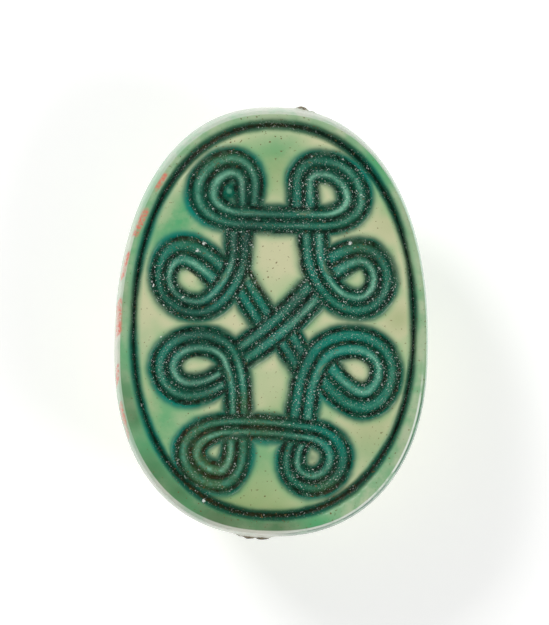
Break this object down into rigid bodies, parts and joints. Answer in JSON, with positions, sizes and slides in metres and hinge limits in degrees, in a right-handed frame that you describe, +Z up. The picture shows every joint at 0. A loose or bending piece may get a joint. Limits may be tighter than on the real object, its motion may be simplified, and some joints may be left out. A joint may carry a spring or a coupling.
{
  "type": "scarab seal",
  "caption": "Green-glazed steatite scarab seal, lying on its back with a coiled and crossed cord design cut in its oval seal face.",
  "frame": {"origin": "middle of the seal's footprint on its lowest plane, the flat worn on the beetle's back", "axes": "+Z up, out of the carved seal face; +Y along the length towards the beetle's head; +X across the width"},
  "size_m": [0.0146, 0.02, 0.009],
  "materials": {
    "green_glaze": "glossy"
  },
  "bodies": {
    "root": {"scarab": "green_glaze"}
  },
  "joints": []
}
